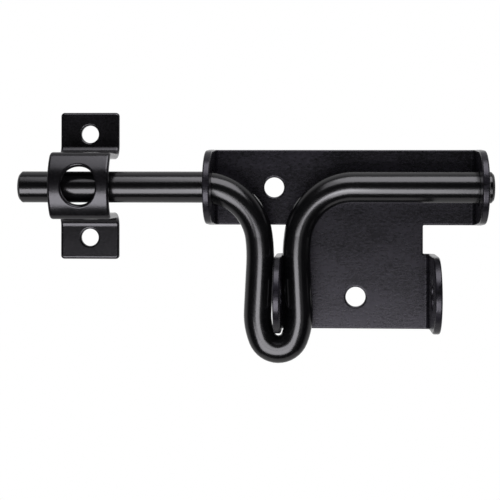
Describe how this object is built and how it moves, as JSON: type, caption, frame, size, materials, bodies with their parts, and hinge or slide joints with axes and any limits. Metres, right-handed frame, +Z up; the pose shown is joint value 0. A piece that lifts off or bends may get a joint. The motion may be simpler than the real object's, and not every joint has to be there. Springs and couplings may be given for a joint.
{
  "type": "gate latch",
  "caption": "Black powder-coated gate latch: a folded plate whose ears guide a round bolt with a U-shaped handle, padlock ears, and an arched keeper.",
  "frame": {"origin": "on the gate's face, behind the bolt's axis, midway between the two rod ears", "axes": "+X along the bolt, away from the keeper; +Y into the gate; +Z up, with the handle hanging toward -Z"},
  "size_m": [0.1913, 0.0358, 0.1019],
  "materials": {
    "base_plate": "satin black powder coat",
    "bolt": "satin black powder coat",
    "keeper": "satin black powder coat"
  },
  "bodies": {
    "fixed": {"base_plate": "base_plate", "keeper": "keeper"},
    "bolt": {"bolt": "bolt"}
  },
  "joints": [
    {"name": "bolt_turn", "type": "hinge", "parent": "fixed", "child": "bolt", "pos_m": [0, -0.0145, 0], "axis": [-1, 0, 0], "range_deg": [-5, 185]}
  ]
}
